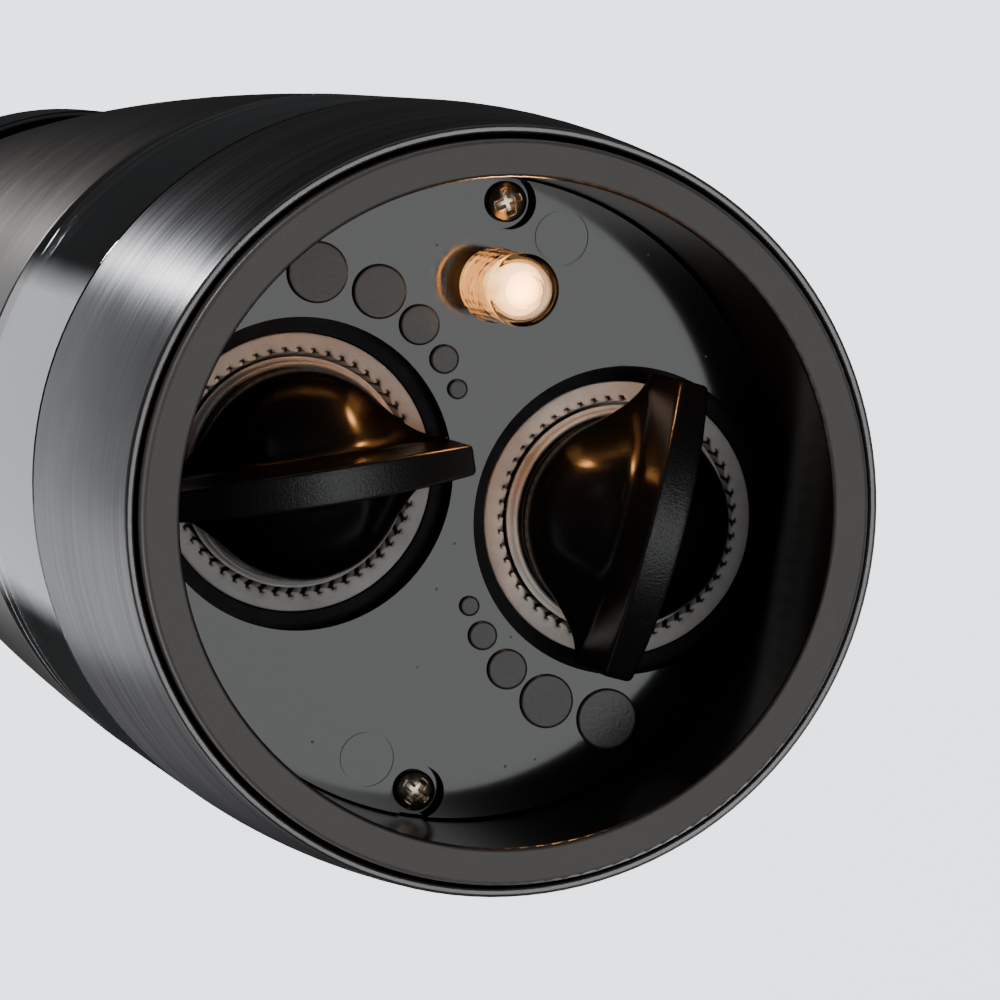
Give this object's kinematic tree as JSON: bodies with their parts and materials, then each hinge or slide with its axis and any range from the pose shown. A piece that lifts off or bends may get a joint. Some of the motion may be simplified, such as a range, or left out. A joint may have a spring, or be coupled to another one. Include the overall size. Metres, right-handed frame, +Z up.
{
  "type": "pepper mill",
  "caption": "Tall round electric salt and pepper mill with a lit grinder base, two ceramic grinders with knobs, a clear split chamber and push buttons on top.",
  "frame": {"origin": "centre of the foot rim's flat face, on the surface the mill stands on", "axes": "+Z up the mill's long axis from foot to cap, X through both grinders, the lamp towards -Y"},
  "size_m": [0.0688, 0.0688, 0.2276],
  "materials": {
    "foot_plastic": "satin",
    "gloss_black": "high gloss",
    "core_plastic": "moulded matt",
    "brushed_collar": "brushed round the body",
    "head_steel": "fine satin",
    "clear_acrylic": "polished clear",
    "lamp_clear": "polished clear",
    "lamp_light": "glowing",
    "ceramic_white": "fired matt ceramic",
    "shaft_steel": "ground",
    "screw_steel": "bright zinc",
    "spring_steel": "drawn wire",
    "bronze": "sintered bronze",
    "contact_brass": "stamped",
    "wire_red": "insulation",
    "seal_rubber": "matt",
    "gear_nylon": "moulded",
    "motor_can": "zinc plated",
    "cell_jacket": "printed film",
    "board_green": "solder mask",
    "switch_black": "moulded",
    "button_grey": "fine matt"
  },
  "bodies": {
    "base": {"foot_ring": "foot_plastic", "base_collar": "brushed_collar", "grinder_plate": "gloss_black", "plate_screws": "screw_steel", "mill_core": "core_plastic", "left_stator": "ceramic_white", "right_stator": "ceramic_white", "left_bush": "bronze", "right_bush": "bronze", "lamp_lens": "lamp_clear", "lamp_led": "lamp_light", "lamp_wires": "wire_red", "lamp_contacts": "contact_brass", "chamber_gasket": "seal_rubber", "chamber": "clear_acrylic"},
    "left_drive": {"left_shaft": "shaft_steel", "left_clip": "spring_steel", "left_spring": "spring_steel"},
    "left_burr": {"left_rotor": "ceramic_white"},
    "left_dial": {"left_knob": "gloss_black"},
    "right_drive": {"right_shaft": "shaft_steel", "right_clip": "spring_steel", "right_spring": "spring_steel"},
    "right_burr": {"right_rotor": "ceramic_white"},
    "right_dial": {"right_knob": "gloss_black"},
    "head": {"head_shell": "head_steel", "head_floor": "core_plastic", "lamp_pins": "contact_brass", "gear_pins": "shaft_steel", "motor_plate": "motor_can", "motor_screws": "screw_steel", "frame_screws": "screw_steel", "battery_sleeve": "core_plastic", "battery_cage": "core_plastic", "cell_1": "cell_jacket", "cell_2": "cell_jacket", "cell_3": "cell_jacket", "cell_4": "cell_jacket", "cage_tabs": "contact_brass", "cage_springs": "spring_steel", "left_motor": "motor_can", "right_motor": "motor_can"},
    "left_output": {"left_output_coupler": "gear_nylon"},
    "left_idler": {"left_idler_gear": "gear_nylon"},
    "left_armature": {"left_motor_shaft": "shaft_steel", "left_motor_pinion": "contact_brass"},
    "right_output": {"right_output_coupler": "gear_nylon"},
    "right_idler": {"right_idler_gear": "gear_nylon"},
    "right_armature": {"right_motor_shaft": "shaft_steel", "right_motor_pinion": "contact_brass"},
    "cap": {"top_cap": "gloss_black", "switch_board": "board_green", "board_screws": "screw_steel", "cap_contacts": "contact_brass", "tact_switches": "switch_black", "left_button_spring": "spring_steel", "right_button_spring": "spring_steel"},
    "left_push": {"left_button": "button_grey"},
    "right_push": {"right_button": "button_grey"}
  },
  "joints": [
    {"name": "left_grind", "type": "hinge", "parent": "base", "child": "left_drive", "pos_m": [-0.0147, 0, 0.04], "axis": [0, 0, 1], "continuous": true},
    {"name": "left_burr_feed", "type": "slide", "parent": "left_drive", "child": "left_burr", "axis": [0, 0, 1], "range_m": [-0.00075, 0], "deforming": ["left_spring"]},
    {"name": "left_knob_turn", "type": "hinge", "parent": "left_burr", "child": "left_dial", "pos_m": [-0.0147, 0, 0.015], "axis": [0, 0, 1], "range_deg": [0, 540]},
    {"name": "right_grind", "type": "hinge", "parent": "base", "child": "right_drive", "pos_m": [0.0147, 0, 0.04], "axis": [0, 0, 1], "continuous": true},
    {"name": "right_burr_feed", "type": "slide", "parent": "right_drive", "child": "right_burr", "axis": [0, 0, 1], "range_m": [-0.00075, 0], "deforming": ["right_spring"]},
    {"name": "right_knob_turn", "type": "hinge", "parent": "right_burr", "child": "right_dial", "pos_m": [0.0147, 0, 0.015], "axis": [0, 0, 1], "range_deg": [0, 540]},
    {"name": "head_lift", "type": "slide", "parent": "base", "child": "head", "axis": [0, 0, 1], "range_m": [0, 0.045]},
    {"name": "left_output_turn", "type": "hinge", "parent": "head", "child": "left_output", "pos_m": [-0.0147, 0, 0.077], "axis": [0, 0, 1], "continuous": true},
    {"name": "left_idler_turn", "type": "hinge", "parent": "head", "child": "left_idler", "pos_m": [-0.0147, 0.0121, 0.084], "axis": [0, 0, 1], "continuous": true},
    {"name": "left_motor_turn", "type": "hinge", "parent": "head", "child": "left_armature", "pos_m": [-0.0147, 0, 0.088], "axis": [0, 0, 1], "continuous": true},
    {"name": "right_output_turn", "type": "hinge", "parent": "head", "child": "right_output", "pos_m": [0.0147, 0, 0.077], "axis": [0, 0, 1], "continuous": true},
    {"name": "right_idler_turn", "type": "hinge", "parent": "head", "child": "right_idler", "pos_m": [0.0147, 0.0121, 0.084], "axis": [0, 0, 1], "continuous": true},
    {"name": "right_motor_turn", "type": "hinge", "parent": "head", "child": "right_armature", "pos_m": [0.0147, 0, 0.088], "axis": [0, 0, 1], "continuous": true},
    {"name": "cap_lift", "type": "slide", "parent": "head", "child": "cap", "axis": [0, 0, 1], "range_m": [0, 0.04]},
    {"name": "left_button_press", "type": "slide", "parent": "cap", "child": "left_push", "axis": [0, 0, -1], "range_m": [0, 0.0015], "stiffness_N_per_m": 400, "springref_m": -0.001, "deforming": ["left_button_spring"]},
    {"name": "right_button_press", "type": "slide", "parent": "cap", "child": "right_push", "axis": [0, 0, -1], "range_m": [0, 0.0015], "stiffness_N_per_m": 400, "springref_m": -0.001, "deforming": ["right_button_spring"]}
  ],
  "couplings": [
    {"joint": "left_knob_turn", "follows": "left_burr_feed", "rad_per_m": -12566},
    {"joint": "right_knob_turn", "follows": "right_burr_feed", "rad_per_m": -12566},
    {"joint": "left_output_turn", "follows": "left_grind", "ratio": 1},
    {"joint": "left_idler_turn", "follows": "left_grind", "ratio": -2.3333},
    {"joint": "left_motor_turn", "follows": "left_grind", "ratio": 7},
    {"joint": "right_output_turn", "follows": "right_grind", "ratio": 1},
    {"joint": "right_idler_turn", "follows": "right_grind", "ratio": -2.3333},
    {"joint": "right_motor_turn", "follows": "right_grind", "ratio": 7}
  ]
}
